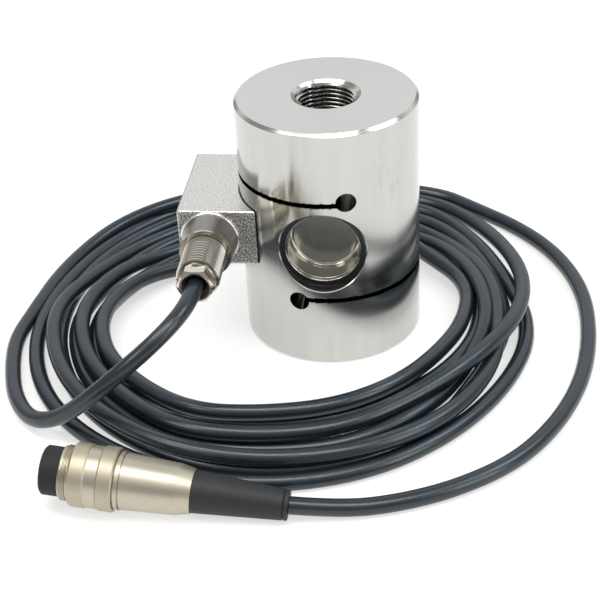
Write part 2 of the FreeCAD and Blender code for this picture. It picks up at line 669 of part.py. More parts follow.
def cable_coil():
    """Outer shape of the loose turns, open where the lead and the tail go in."""
    outside = Part.Face(coil_outline(COIL_OUTSIDE)).extrude(Vector(0, 0, COIL_H))
    top = [edge for edge in outside.Edges
           if edge.BoundBox.ZMin > COIL_H - 0.01 and edge.BoundBox.ZLength < 0.01]
    outside = outside.makeChamfer(COIL_EDGE, top)
    inside = Part.Face(coil_outline(COIL_INSIDE)).extrude(Vector(0, 0, COIL_H))
    lead_end, lead_before = cable_points(LEAD_ROUTE[:-3:-1])
    tail_end, tail_before = cable_points(TAIL_ROUTE[:2])
    return outside.cut([inside, cable_pocket(lead_end, lead_before),
                        cable_pocket(tail_end, tail_before)])


# ---------------------------------------------------------------- connector
def connector_insert():
    """Contact carrier, standing out of the sleeve's front."""
    radius = INSERT_D / 2 - PRESS_GAP
    carrier = turned([(0, 0), (radius - INSERT_EDGE_R, 0), (radius, INSERT_EDGE_R),
                      (radius, SHELL_NOSE_START), (0, SHELL_NOSE_START)], CONNECTOR)
    holes = [rod(CONTACT_D, -1, SHELL_NOSE_START + 1, CONNECTOR, x, y)
             for x, y in ring_of(CONTACT_COUNT, CONTACT_CIRCLE_D / 2, 90)]
    return carrier.cut(holes)


def connector_contacts():
    contacts = []
    end = CONTACT_SET_BACK + CONTACT_L
    for x, y in ring_of(CONTACT_COUNT, CONTACT_CIRCLE_D / 2, 90):
        pin = rod(CONTACT_D - 2 * PRESS_GAP, CONTACT_SET_BACK, end, CONNECTOR, x, y)
        bore = rod(CONTACT_BORE_D, 0, CONTACT_L / 2, CONNECTOR, x, y)
        contacts.append(pin.cut(bore))
    return Part.makeCompound(contacts)


def connector_sleeve():
    """Front sleeve: coupling thread, front band and the smooth groove behind it."""
    band = BAND_D / 2
    groove = GROOVE_D / 2
    bore = INSERT_D / 2
    nose = SHELL_FRONT_D / 2 - SHELL_WALL
    return turned([(bore, SLEEVE_START), (COUPLING_D / 2 - 0.3, SLEEVE_START),
                   (COUPLING_D / 2, SLEEVE_START + 0.3), (COUPLING_D / 2, BAND_START),
                   (band - BAND_CHAMFER, BAND_START), (band, BAND_START + BAND_CHAMFER),
                   (band, GROOVE_START - BAND_CHAMFER), (groove, GROOVE_START),
                   (groove, RING_START), (nose + PRESS_GAP, RING_START),
                   (nose + PRESS_GAP, SHELL_NOSE_START),
                   (bore, SHELL_NOSE_START)], CONNECTOR)


def connector_ring():
    """Clamping ring between the sleeve and the shell."""
    ring = RING_D / 2
    nose = SHELL_FRONT_D / 2 - SHELL_WALL
    return turned([(nose + PRESS_GAP, RING_START), (ring - BAND_CHAMFER, RING_START),
                   (ring, RING_START + BAND_CHAMFER), (ring, NECK_START - BAND_CHAMFER),
                   (ring - BAND_CHAMFER, NECK_START), (nose + PRESS_GAP, NECK_START)],
                  CONNECTOR)


def connector_shell():
    """Back shell: nose in the ring, grooved collar, tapered grip and closing cone."""
    nose = SHELL_FRONT_D / 2 - SHELL_WALL
    inner = nose - SHELL_WALL
    opening = BOOT_NECK_D / 2
    collar = NECK_D / 2
    groove = collar - NECK_GROOVE_DEPTH
    collar_start = NECK_START + NECK_GROOVE_W
    collar_end = SHELL_START - NECK_GROOVE_W
    return turned([(inner, SHELL_NOSE_START), (nose, SHELL_NOSE_START),
                   (nose, NECK_START), (groove, NECK_START),
                   (groove, collar_start), (collar, collar_start),
                   (collar, collar_end), (groove, collar_end),
                   (groove, SHELL_START), (SHELL_FRONT_D / 2, SHELL_START),
                   (SHELL_BACK_D / 2, CONE_START), (SHELL_TIP_D / 2, BOOT_START),
                   (opening, BOOT_START), (opening, BOOT_START - BOOT_NECK_L),
                   (inner, BOOT_START - BOOT_NECK_L)], CONNECTOR)


def connector_boot():
    """Rubber bend relief: neck inside the shell, long taper, end collar."""
    bore = CABLE_D / 2 + CABLE_GAP
    front = BOOT_FRONT_D / 2
    end = BOOT_END_D / 2
    collar = CONNECTOR_L - BOOT_COLLAR_L
    return turned([(bore, BOOT_START - BOOT_NECK_L),
                   (BOOT_NECK_D / 2 - PRESS_GAP, BOOT_START - BOOT_NECK_L),
                   (BOOT_NECK_D / 2 - PRESS_GAP, BOOT_START), (front, BOOT_START),
                   (end + 0.1, collar), (end - 0.25, collar + 0.25), (end, collar + 0.5),
                   (end, CONNECTOR_L), (bore, CONNECTOR_L)], CONNECTOR)


def connector_clamp():
    """Slit collar that grips the sheath inside the shell."""
    inner = SHELL_FRONT_D / 2 - 2 * SHELL_WALL
    end = BOOT_START - BOOT_NECK_L
    collar = turned([(CABLE_D / 2 + CABLE_GAP, end - CLAMP_L), (inner - 1.0, end - CLAMP_L),
                     (inner - PRESS_GAP, end - CLAMP_L + 1.5), (inner - PRESS_GAP, end),
                     (CABLE_D / 2 + CABLE_GAP, end)], CONNECTOR)
    slit = placed(block_between((0, -CLAMP_SLIT / 2, end - CLAMP_L - 1),
                                (inner + 1, CLAMP_SLIT / 2, end + 1)), CONNECTOR)
    return collar.cut(slit)


def cable_end():
    """Sheathed cable held inside the boot and the shell."""
    return rod(CABLE_D, CONTACT_SET_BACK + CONTACT_L + STRIPPED_L, CONNECTOR_L, CONNECTOR)


def connector_cores():
    """Cores from the stripped sheath to the contacts' solder ends."""
    cores = []
    front = CONTACT_SET_BACK + CONTACT_L
    back = front + STRIPPED_L
    contacts = ring_of(CONTACT_COUNT, CONTACT_CIRCLE_D / 2, 90)[:CORE_COUNT]
    for (tx, ty), (sx, sy) in zip(contacts, ring_of(CORE_COUNT, CORE_SPREAD, 90)):
        route = [(sx, sy, back), (sx, sy, back - STRIPPED_L / 4),
                 (tx, ty, front + STRIPPED_L / 4), (tx, ty, front)]
        core = tube_along(cable_points(route), CORE_D)[0]
        cores.append(placed(core, CONNECTOR))
    return Part.makeCompound(cores)


# ---------------------------------------------------------------- all nodes
def build():
    lead, lead_length, lead_radii = cable_lead()
    tail, tail_length, tail_radii = cable_tail()
    section = math.pi * CABLE_D ** 2 / 4
    for name, tube, length, radii in (("lead", lead, lead_length, lead_radii),
                                      ("tail", tail, tail_length, tail_radii)):
        print(name, "length", round(length, 1), "radii", [round(r, 1) for r in radii],
              "volume ratio", round(tube.Volume / (section * length), 4))
    cup = front_cup()
    wires = bridge_wires()
    return {
        "load_body": load_body(),
        "front_cup": cup,
        "rear_cup": mirrored_to_rear(cup),
        "gauge_front_left": gauge(-1),
        "gauge_front_right": gauge(1),
        "gauge_rear_left": mirrored_to_rear(gauge(-1)),
        "gauge_rear_right": mirrored_to_rear(gauge(1)),
        "terminal_front": terminal(),
        "terminal_rear": mirrored_to_rear(terminal()),
        "bridge_wires_front": wires,
        "bridge_wires_rear": mirrored_to_rear(wires),
        "block_gasket": block_gasket(),
        "junction_block": junction_block(),
        "block_screws": block_screws(),
        "block_cover": block_cover(),
        "cover_screws": cover_screws(),
        "board_pad": board_pad(),
        "compensation_board": compensation_board(),
        "board_resistors": board_resistors(),
        "gland_body": gland_body(),
        "gland_oring": gland_oring(),
        "gland_bush": gland_bush(),
        "gland_washer": gland_washer(),
        "gland_screw": gland_screw(),
        "cable_entry": cable_entry(),
        "cable_cores": cable_cores(),
        "cable_lead": lead,
        "cable_coil": cable_coil(),
        "cable_tail": tail,
        "connector_insert": connector_insert(),
        "connector_contacts": connector_contacts(),
        "connector_sleeve": connector_sleeve(),
        "connector_ring": connector_ring(),
        "connector_shell": connector_shell(),
        "connector_clamp": connector_clamp(),
        "connector_boot": connector_boot(),
        "cable_end": cable_end(),
        "connector_cores": connector_cores(),
    }


os.makedirs("parts", exist_ok=True)
for node, shape in build().items():
    print(node, shape.ShapeType, len(shape.Solids), "valid" if shape.isValid() else "NOT VALID",
          round(shape.Volume, 1))
    shape.exportStep("parts/" + node + ".step")
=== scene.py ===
"""S type load cell: a slotted steel column with its junction block, loose cable and connector."""
import math

import bmesh
import bpy
from mathutils import Matrix, Vector


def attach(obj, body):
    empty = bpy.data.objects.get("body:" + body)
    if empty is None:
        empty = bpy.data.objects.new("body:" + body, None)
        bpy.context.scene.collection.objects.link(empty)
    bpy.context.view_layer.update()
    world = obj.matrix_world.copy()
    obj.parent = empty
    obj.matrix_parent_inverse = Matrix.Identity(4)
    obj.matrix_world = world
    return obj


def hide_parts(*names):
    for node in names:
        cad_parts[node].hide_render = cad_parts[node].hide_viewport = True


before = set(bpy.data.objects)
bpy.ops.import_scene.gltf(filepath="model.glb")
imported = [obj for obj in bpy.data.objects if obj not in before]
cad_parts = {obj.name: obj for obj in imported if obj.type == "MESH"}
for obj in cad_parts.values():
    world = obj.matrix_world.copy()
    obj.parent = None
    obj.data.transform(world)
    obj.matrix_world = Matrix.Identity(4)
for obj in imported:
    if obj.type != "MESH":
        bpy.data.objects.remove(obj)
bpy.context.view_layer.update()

MM = 0.001

# ------------------------------------------------------------------ sizes, in mm

# column
BODY_R = 30.0
BODY_H = 85.0
MIDDLE_Z = BODY_H / 2          # height of the bore's, the block's and the gland's middle
BORE_R = 14.25
SLOT_OFFSET = 17.6             # slots above and below the bore's axis
SLOT_REACH = 5.4               # each slot's painted shade ends here, at its relief hole
COUNTERSINK_R = 10.7           # middle of the sloping ring round the end threads
CUP_LIP_R = 13.12              # middle of the cup's flat lip
CUP_LIP_Y = 26.0
# junction block and gland
BLOCK_FRONT_Y = -20.5
GLAND_X = -37.7
BOSS_END_Y = -30.1
BARREL_MIDDLE_Y = -38.85
BARREL_HALF = 8.1
# cable
CABLE_D = 5.4
F = CABLE_D / 2                # height of the cable's axis where it lies on the floor
# connector: where it starts, which way it runs, its matte bands as middle and half length
CONNECTOR_FRONT = Vector((-76.442, -104.310, 11.835))
CONNECTOR_AXIS = Vector((72.842, -3.690, -7.308)).normalized()
CONNECTOR_BANDS = [(11.55, 2.35), (20.0, 2.3)]
# helical threads
END_THREAD = {"length": 16.6, "pitch": 1.5, "root_r": 10.0, "crest_r": 9.15}
END_THREAD_IN = 0.8            # from the end faces to the first turn
COUPLING_THREAD = {"length": 2.6, "pitch": 0.75, "root_r": 7.98, "crest_r": 8.35}
COUPLING_THREAD_IN = 6.2

# ------------------------------------------------------------------ camera

CAMERA_PLACE = Vector((47.615, -434.067, 287.181))
CAMERA_TARGET = Vector((-4.657, -52.966, 40.0))
CAMERA_ROLL = -3.049           # degrees


def set_camera():
    lens = bpy.data.cameras.new("view")
    lens.lens, lens.sensor_width = 88.89, 36.0
    camera = bpy.data.objects.new("view", lens)
    turn = (CAMERA_TARGET - CAMERA_PLACE).to_track_quat("-Z", "Y").to_matrix().to_4x4()
    tilt = Matrix.Rotation(math.radians(CAMERA_ROLL), 4, "Z")
    camera.matrix_world = Matrix.Translation(CAMERA_PLACE * MM) @ turn @ tilt
    bpy.context.scene.collection.objects.link(camera)
    bpy.context.scene.camera = camera


# ------------------------------------------------------------------ cable

# free cable out of the gland, and from the coil into the connector's boot
LEAD = [(GLAND_X, -51, MIDDLE_Z), (-38.4, -59.5, 42.2), (-41.4, -67.5, 40.6),
        (-47.5, -74.5, 36.6), (-56.5, -78.8, 29.8), (-66.5, -79.4, 20.8), (-78.5, -77.0, 9.8),
        (-90.5, -70.8, 3.4), (-99.5, -58.0, F), (-105.0, -41.5, F), (-108.3, -25.0, F)]
TAIL = [(49.5, 71.5, F), (66.5, 56.5, F), (79.5, 37.5, F), (87.0, 14.0, F), (88.0, -12.0, F),
        (84.5, -38.0, F), (76.0, -61.5, F), (63.0, -81.5, F), (45.0, -95.5, F),
        (27.0, -103.5, F), (11.3, -107.2, 3.05), (-3.6, -108.0, 4.53)]
COIL_MIDDLE = (-16.0, -12.0)
COIL_STRETCH = 1.012           # the spline cuts inside its points by this much
# stations round the coil: angle, then how far out and how high its eight places are, outer first
STATIONS = [
    (180, (90, 86.4, 79.4, 80.6, 73.6, 71, 66.6, 63.4), (F, F, F, 8, F, 8.2, F, 7.8)),
    (157, (93, 87.4, 82, 77.4, 72, 68.2, 63.6, 59.6), (F, F, 3.6, 5, F, 7.8, F, 6.4)),
    (135, (98, 92, 85.5, 79.5, 73, 66.8, 60.2, 54), (F, F, 3.2, F, 3.4, F, 3.4, F)),
    (112, (103, 97, 89.5, 82.2, 75.5, 68.5, 61.8, 54), (F, F, 3.4, F, F, 3.2, F, F)),
    (90, (106, 100, 92.6, 85, 77.8, 70.5, 63.2, 55.5), (F, F, F, F, 3.2, F, F, F)),
    (64, (108, 102, 94.6, 87.6, 80.4, 73, 66.2, 59), (F, F, 3.4, F, F, F, 3.6, F)),
    (45, (102, 96, 88.6, 84, 79, 74.4, 69.8, 65), (4.5, 3.6, F, 3.4, F, 4.2, F, 3.6)),
    (22, (90, 87.4, 82.4, 77.8, 75.2, 70.6, 70.6, 67.2), (F, 7.6, F, F, 7.4, 7.8, F, 5.5)),
    (0, (90, 80, 83.6, 75.4, 73, 69.4, 66.4, 61), (F, 10.8, F, F, 7, 7.4, F, 6)),
    (-22, (90, 81.4, 71.4, 75.8, 66.2, 72, 61.4, 56), (F, F, F, 6.8, 3.4, 12, F, 6.4)),
    (-45, (90, 81.6, 76.4, 79.2, 70.6, 66.4, 57, 56.2), (F, F, F, 7.5, 6.2, 9.2, F, 8)),
    (-67, (90, 84, 78.6, 80, 70.8, 67.4, 56, 56.2), (F, F, F, 7.9, 3.6, 8, F, 8)),
    (-90, (90, 85.2, 79.6, 79.6, 69.4, 67.8, 55.8, 56.6), (F, F, F, 8, F, 7.9, F, 8)),
    (-112, (90, 84.8, 78, 79, 71.4, 70, 58.6, 60.2), (F, F, F, 8, F, 7.8, F, 7.6)),
    (-135, (90, 85.6, 76.6, 78.6, 70.6, 67.4, 63.4, 59.6), (F, F, F, 8.2, F, 7.4, F, 7)),
    (-157, (90, 86, 77, 78.8, 71.2, 69, 65.2, 62.6), (F, F, F, 8.1, F, 7.8, F, 7.6)),
]
# stations from which a turn lies in its second and in its third place
CHANGE_OVER, CROSSING = 5, 9
# the three places of each turn; the fifth turn crosses over its neighbours on the right
TURNS = [(1, 8, 8), (8, 7, 7), (7, 6, 5), (5, 4, 3), (3, 2, 6), (6, 5, 4), (4, 3, 2)]
# where the first turn humps over the others: station, then how far out and how high
HUMP = {2: (96.8, 5.6), 3: (91, 8.9), 4: (80, 9.2), 5: (67, 9.2), 6: (63.5, 6.4)}


def coil_point(station, reach, height):
    """A point of the coil, in mm, at one of its stations."""
    angle = math.radians(STATIONS[station][0])
    return (COIL_MIDDLE[0] + reach * COIL_STRETCH * math.cos(angle),
            COIL_MIDDLE[1] + reach * COIL_STRETCH * math.sin(angle), height)


def cable_points():
    """The whole cable's points: lead, seven turns, the start of an eighth, and tail."""
    points = list(LEAD)
    for turn, places in enumerate(TURNS):
        for station, (_, reaches, heights) in enumerate(STATIONS):
            place = places[(station >= CHANGE_OVER) + (station >= CROSSING)] - 1
            spot = (reaches[place], heights[place])
            if turn == 0:
                spot = HUMP.get(station, spot)
            points.append(coil_point(station, *spot))
    for station in range(CHANGE_OVER + 1):
        place = 1 if station < CHANGE_OVER else 0
        _, reaches, heights = STATIONS[station]
        points.append(coil_point(station, reaches[place], heights[place]))
    return points + TAIL


def make_cable():
    curve = bpy.data.curves.new("cable", "CURVE")
    curve.dimensions = "3D"
    curve.bevel_depth = 1.0        # the points' radius gives the thickness
    curve.bevel_resolution = 5
    curve.resolution_u = 8
    curve.use_fill_caps = True
    line = curve.splines.new("NURBS")
    points = cable_points()
    line.points.add(len(points) - 1)
    for point, place in zip(line.points, points):
        point.co = (*(Vector(place) * MM), 1.0)
        point.radius = CABLE_D / 2 * MM
    line.order_u = 3
    line.use_endpoint_u = True
    cable = bpy.data.objects.new("cable", curve)
    bpy.context.scene.collection.objects.link(cable)
    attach(cable, "root")
    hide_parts("cable_lead", "cable_coil", "cable_tail")
    return cable


# ------------------------------------------------------------------ threads and weld bead

SHARP_ANGLE = math.radians(50)    # edges above it stay sharp
THREAD_STEPS = 48              # round one turn
FADE_STEPS = 12                # over which a thread runs out at each end
LEAST_HEIGHT = 0.02            # share of the ridge that is left at its very ends
ROOT_HALF, CREST_HALF = 0.46, 0.07    # half widths of the ridge, as shares of the pitch


def make_thread(name, start, axis, slot, length, pitch, root_r, crest_r):
    """A helical ridge from root_r to crest_r, in mm, that fades out at both ends."""
    count = int(length / pitch * THREAD_STEPS)
    across = axis.orthogonal().normalized()
    beside = axis.cross(across)
    mesh = bmesh.new()
    rings = []
    for i in range(count + 1):
        angle = 2 * math.pi * i / THREAD_STEPS
        fade = min(1.0, i / FADE_STEPS, (count - i) / FADE_STEPS)
        crest = root_r + (crest_r - root_r) * max(fade, LEAST_HEIGHT)
        out = across * math.cos(angle) + beside * math.sin(angle)
        along = pitch * i / THREAD_STEPS
        section = [(root_r, -ROOT_HALF), (crest, -CREST_HALF), (crest, CREST_HALF),
                   (root_r, ROOT_HALF)]
        rings.append([mesh.verts.new((start + out * r + axis * (along + share * pitch)) * MM)
                      for r, share in section])
    for ring, after in zip(rings, rings[1:]):
        join_rings(mesh, ring, after)
    mesh.faces.new(rings[0])
    mesh.faces.new(reversed(rings[-1]))
    return add_piece(name, mesh)


def join_rings(mesh, ring, after):
    for k in range(len(ring)):
        n = (k + 1) % len(ring)
        mesh.faces.new((ring[k], ring[n], after[n], after[k]))


def add_piece(name, mesh):
    bmesh.ops.recalc_face_normals(mesh, faces=mesh.faces)
    data = bpy.data.meshes.new(name)
    mesh.to_mesh(data)
    mesh.free()
    data.shade_smooth()
    data.set_sharp_from_angle(angle=SHARP_ANGLE)
    piece = bpy.data.objects.new(name, data)
    bpy.context.scene.collection.objects.link(piece)
    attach(piece, "root")
    return piece


BEAD_STEPS = 96
# radius and height over the block's front of each corner
BEAD_SECTION = [(9.2, 0.9), (9.42, 0.85), (9.62, 0.62), (9.84, 0.36), (9.92, 0.0), (9.2, 0.0)]


def make_boss_bead():
    """Bead where the gland's boss meets the junction block; its finish paints a highlight along
    the boss's edge.
    """
    mesh = bmesh.new()
    rings = [[mesh.verts.new(bead_corner(2 * math.pi * i / BEAD_STEPS, *corner) * MM)
              for corner in BEAD_SECTION] for i in range(BEAD_STEPS)]
    for ring, after in zip(rings, rings[1:] + rings[:1]):
        join_rings(mesh, ring, after)
    return add_piece("boss_bead", mesh)


def bead_corner(angle, radius, out):
    """A corner of the bead's section; its rounded part is uneven, its foot is true."""
    if out > 0.0:
        radius += 0.06 * math.sin(5 * angle + 1.0) + 0.04 * math.sin(11 * angle)
    return Vector((GLAND_X + radius * math.cos(angle), BLOCK_FRONT_Y - out,
                   MIDDLE_Z + radius * math.sin(angle)))


def make_threads():
    up = Vector((0, 0, 1))
    make_thread("top_thread", up * (BODY_H - END_THREAD_IN), -up, "body_steel", **END_THREAD)
    make_thread("base_thread", up * END_THREAD_IN, up, "body_steel", **END_THREAD)
    make_thread("coupling_thread", CONNECTOR_FRONT + CONNECTOR_AXIS * COUPLING_THREAD_IN,
                CONNECTOR_AXIS, "connector_nickel", **COUPLING_THREAD)


# ------------------------------------------------------------------ finishes


class Wire:
    """An output of a finish's node; arithmetic on it adds the Math nodes."""

    def __init__(self, finish, socket):
        self.finish, self.socket = finish, socket

    def out(self, name):
        return Wire(self.finish, self.socket.node.outputs[name])

    def math(self, operation, *values):
        flat = all(not isinstance(v, Wire) or v.socket.type == "VALUE" for v in values)
        flat = flat and all(not isinstance(v, tuple) for v in values)
        kind = "Math" if flat else "VectorMath"
        return self.finish.node(kind, {"operation": operation}, dict(enumerate(values)))

    def __add__(self, other):
        return self.math("ADD", self, other)

    def __sub__(self, other):
        return self.math("SUBTRACT", self, other)

    def __rsub__(self, other):
        return self.math("SUBTRACT", other, self)

    def __mul__(self, other):
        return self.math("MULTIPLY", self, other)

    def __truediv__(self, other):
        return self.math("DIVIDE", self, other)

    def __pow__(self, other):
        return self.math("POWER", self, other)

    def __abs__(self):
        return self.math("ABSOLUTE", self)

    __radd__, __rmul__ = __add__, __mul__


class Finish:
    """One material, or the world's, built from nodes; x, y and z are in mm on a piece."""

    def __init__(self, name, world=False):
        self.material = (bpy.data.worlds if world else bpy.data.materials).new(name)
        self.material.use_nodes = True
        self.nodes = self.material.node_tree.nodes
        self.links = self.material.node_tree.links
        self.nodes.clear()
        self.place = self.node("TexCoord", output="Generated" if world else "Object")
        parts = self.node("SeparateXYZ", {}, {0: self.place})
        unit = 1.0 if world else MM
        self.x, self.y, self.z = [parts.out(axis) / unit for axis in "XYZ"]

    def node(self, kind, settings=None, values=None, output=0):
        """Any node: its settings first, then values or links for its sockets."""
        made = self.nodes.new("ShaderNode" + kind)
        for key, setting in (settings or {}).items():
            setattr(made, key, setting)
        for key, value in (values or {}).items():
            self.put(made.inputs[key], value)
        return Wire(self, made.outputs[output]) if made.outputs else None

    def put(self, socket, value):
        if isinstance(value, Wire):
            self.links.new(value.socket, socket)
        elif socket.type == "RGBA":
            socket.default_value = (*value, 1.0)
        elif socket.type == "VECTOR" and not isinstance(value, tuple):
            socket.default_value = (value,) * 3
        else:
            socket.default_value = value

    def noise(self, grain, detail=3.0, stretch=(1.0, 1.0, 1.0), rough=0.55, place=None):
        """Noise from 0 to 1 whose patches are about grain mm across."""
        spot = (place or self.place) * tuple(s / (grain * MM) for s in stretch)
        return self.node("TexNoise", {}, {"Vector": spot, "Scale": 1.0,
                                          "Detail": detail, "Roughness": rough})

    def ease(self, value, low, high, start=0.0, end=1.0):
        """Smooth change from start to end while the value goes from low to high."""
        return self.node("MapRange", {"interpolation_type": "SMOOTHSTEP"},
                         {"Value": value, "From Min": low, "From Max": high,
                          "To Min": start, "To Max": end})

    def fade(self, value, low, high):
        """Smooth change from 1 to 0 while the value goes from low to high."""
        return self.ease(value, low, high, 1.0, 0.0)

    def mix(self, share, first, second):
        """The first colour where the share is 0, the second where it is 1."""
        return self.node("Mix", {"data_type": "RGBA"}, {0: share, 6: first, 7: second}, 2)

    def join(self, x, y, z):
        return self.node("CombineXYZ", {}, {0: x, 1: y, 2: z})

    def from_column_axis(self):
        return (self.x * self.x + self.y * self.y) ** 0.5

    def from_cross_axis(self, x):
        """Distance from the line along Y at the bore's height that passes through x."""
        across, up = self.x - x, self.z - MIDDLE_Z
        return (across * across + up * up) ** 0.5

    def from_point(self, x, y, z):
        across, over, up = self.x - x, self.y - y, self.z - z
        return (across * across + over * over + up * up) ** 0.5

    def shade(self, colour, roughness, metallic=0.0, relief=None, depth=0.0, **fixed):
        """Join everything to the surface; depth is the relief's height in mm."""
        values = {"Base Color": colour, "Roughness": roughness, "Metallic": metallic}
        if relief is not None:
            values["Normal"] = self.node("Bump", {}, {"Height": relief, "Strength": 1.0,
                                                      "Distance": depth * MM})
        values.update({key.replace("_", " "): value for key, value in fixed.items()})
        surface = self.node("BsdfPrincipled", {}, values)
        self.node("OutputMaterial", {}, {"Surface": surface})
        return self.material


def column_steel():
    """Turned and lightly handled steel, polished on its edges; painted shade along the slots and
    on the bore's wall, and painted light on the top face.
    """
    f = Finish("column_steel")
    radius, from_middle = f.from_column_axis(), abs(f.z - MIDDLE_Z)
    side = f.ease(radius, BODY_R - 0.8, BODY_R - 0.3)
    rings = f.noise(0.3, 2, (0.02, 0.02, 1.0))
    bands = f.noise(2.2, 2, (0.01, 0.01, 1.0))
    smears = f.noise(5.0, 3, (1.0, 1.0, 0.10))
    smudge = (f.fade(f.from_point(21, -21, 66), 3.0, 11.0)
              * f.ease(f.noise(3.0, 5, (1.0, 1.0, 0.4)), 0.42, 0.85))
    countersink = f.fade(abs(radius - COUNTERSINK_R), 0.7, 0.9)
    chamfer = (f.ease(from_middle, MIDDLE_Z - 0.9, MIDDLE_Z - 0.75)
               * f.ease(radius, BODY_R - 1.15, BODY_R - 1.05))
    top = f.ease(from_middle, MIDDLE_Z - 0.2, MIDDLE_Z - 0.05) * (1 - chamfer)
    edges = f.ease(countersink + chamfer, 0.0, 1.0)
    bore = f.fade(f.from_cross_axis(0.0), BORE_R + 0.01, BORE_R + 0.05)
    colour = f.mix(smears, (0.49, 0.49, 0.472), (0.60, 0.594, 0.569))
    # painted light: the top face gets a lighter, cooler colour than the side; its added roughness
    # is its own facing finish
    colour = f.mix(top, colour, (0.60, 0.605, 0.59))
    colour = f.mix(edges, colour, (0.58, 0.58, 0.56))
    colour = f.mix(smudge * 0.30, colour, (0.22, 0.21, 0.19))
    # painted shade: a ragged near-black band along both slots
    colour = f.mix(ragged_slot_shade(f), colour, (0.012, 0.012, 0.013))
    # painted shade: the bore's wall is darkened below the steel round it
    colour = f.mix(bore, colour, (0.17, 0.165, 0.155))
    roughness = (0.09 + 0.06 * bands * side + 0.04 * smears + 0.12 * smudge + 0.15 * top
                 + 0.08 * edges + 0.18 * bore)
    relief = rings * side + f.noise(0.4, 2) * 0.3
    return f.shade(colour, roughness, 1.0, relief, 0.004, Anisotropic=0.45,
                   Anisotropic_Rotation=0.25)


def ragged_slot_shade(f):
    """Painted shade along both slots, up to their relief holes: a ragged near-black band that
    widens each slot's gap and covers its inner faces, broken by small specks where the steel
    shows.
    """
    ragged = f.noise(0.9, 1, rough=0.7) * 2.4 - 1.25
    glint = f.ease(f.noise(0.8, 1, (1.0, 1.0, 2.0)), 0.62, 0.68) * 0.8
    upper = abs(f.z - (MIDDLE_Z + SLOT_OFFSET)) - ragged
    lower = abs(f.z - (MIDDLE_Z - SLOT_OFFSET)) - ragged
    dark = (f.fade(upper, 0.78, 0.92) * f.fade(f.x, SLOT_REACH - 0.2, SLOT_REACH + 0.2)
            + f.fade(lower, 0.78, 0.92) * f.ease(f.x, -SLOT_REACH - 0.2, 0.2 - SLOT_REACH))
    return dark * (1 - glint)


def cup_steel():
    """Pressed sheet: flat lip with a painted dark reflection, satin floor, polished bends."""
    f = Finish("cup_steel")
    from_axis = f.from_cross_axis(0.0)
    lip = (f.fade(abs(from_axis - CUP_LIP_R), 0.80, 0.95)
           * f.ease(abs(f.y), CUP_LIP_Y - 0.1, CUP_LIP_Y))
    floor = f.fade(from_axis, 10.2, 10.8)
    colour = f.mix(f.noise(6.0, 3), (0.46, 0.45, 0.41), (0.55, 0.53, 0.47))
    # painted reflection: near-black colour on the flat lip, standing in for the dark room it
    # reflects
    dark = f.mix(f.noise(1.5, 3), (0.05, 0.055, 0.062), (0.085, 0.09, 0.10))
    colour = f.mix(lip, colour, dark)
    roughness = 0.10 + 0.10 * floor + 0.15 * lip + 0.06 * f.noise(2.0, 2)
    return f.shade(colour, roughness, 1.0, f.noise(0.3, 2), 0.001)


def block_steel():
    """A blasted, sparkling front and plainer other faces, bright where corners are worn."""
    f = Finish("block_steel")
    grit = f.noise(0.5, 2, rough=0.7)
    fine = f.noise(0.35, 2)
    front = f.fade(f.y, BLOCK_FRONT_Y + 0.1, BLOCK_FRONT_Y + 0.4)
    corner = f.node("NewGeometry", output="Pointiness")
    worn = f.ease(corner + 0.04 * fine, 0.53, 0.56)
    speckle = f.ease(grit, 0.42, 0.62)
    spots = f.ease(f.noise(1.3, 2), 0.64, 0.72) * (1 - front)
    colour = f.mix(f.noise(7.0, 3), (0.47, 0.47, 0.45), (0.54, 0.535, 0.515))
    colour = f.mix(spots * 0.10, colour, (0.30, 0.29, 0.27))
    blasted = f.mix(speckle, (0.17, 0.17, 0.165), (0.66, 0.65, 0.61))
    colour = f.mix(front, colour, blasted)
    colour = f.mix(worn * speckle, colour, (0.85, 0.84, 0.81))
    relief = (grit * 0.9 + fine * 0.3) * front
    return f.shade(colour, 0.31 + 0.08 * fine * front - 0.10 * worn * front, 1.0, relief, 0.09)


def gland_nickel():
    """Nickel plate over turned brass, dull on the boss, with painted shade between the barrel's
    thread turns.
    """
    f = Finish("gland_nickel")
    barrel = f.fade(abs(f.y - BARREL_MIDDLE_Y), BARREL_HALF, BARREL_HALF + 0.1)
    groove_shade = f.fade(f.from_cross_axis(GLAND_X), 6.3, 6.75) * barrel
    boss = f.ease(f.y, BOSS_END_Y - 0.2, BOSS_END_Y)
    colour = f.mix(f.noise(3.0, 3), (0.60, 0.565, 0.50), (0.69, 0.66, 0.595))
    dull = f.mix(f.noise(2.0, 3), (0.24, 0.235, 0.215), (0.32, 0.31, 0.285))
    colour = f.mix(boss, colour, dull)
    # painted shade in the barrel's thread hollows
    colour = f.mix(groove_shade * 0.85, colour, (0.13, 0.11, 0.085))
    roughness = 0.09 + 0.08 * f.noise(0.8, 2) + 0.1 * groove_shade + 0.22 * boss
    return f.shade(colour, roughness, 1.0, f.noise(0.4, 2), 0.004)


def bead_highlight_steel():
    """Weld metal, lighter than the other steel: a painted highlight along the boss's edge."""
    f = Finish("bead_highlight_steel")
    # painted highlight: a base colour far lighter than the block's steel
    colour = f.mix(f.noise(1.0, 3), (0.62, 0.61, 0.58), (0.84, 0.83, 0.80))
    return f.shade(colour, 0.16 + 0.14 * f.noise(0.7, 2), 1.0, f.noise(0.6, 3), 0.05)


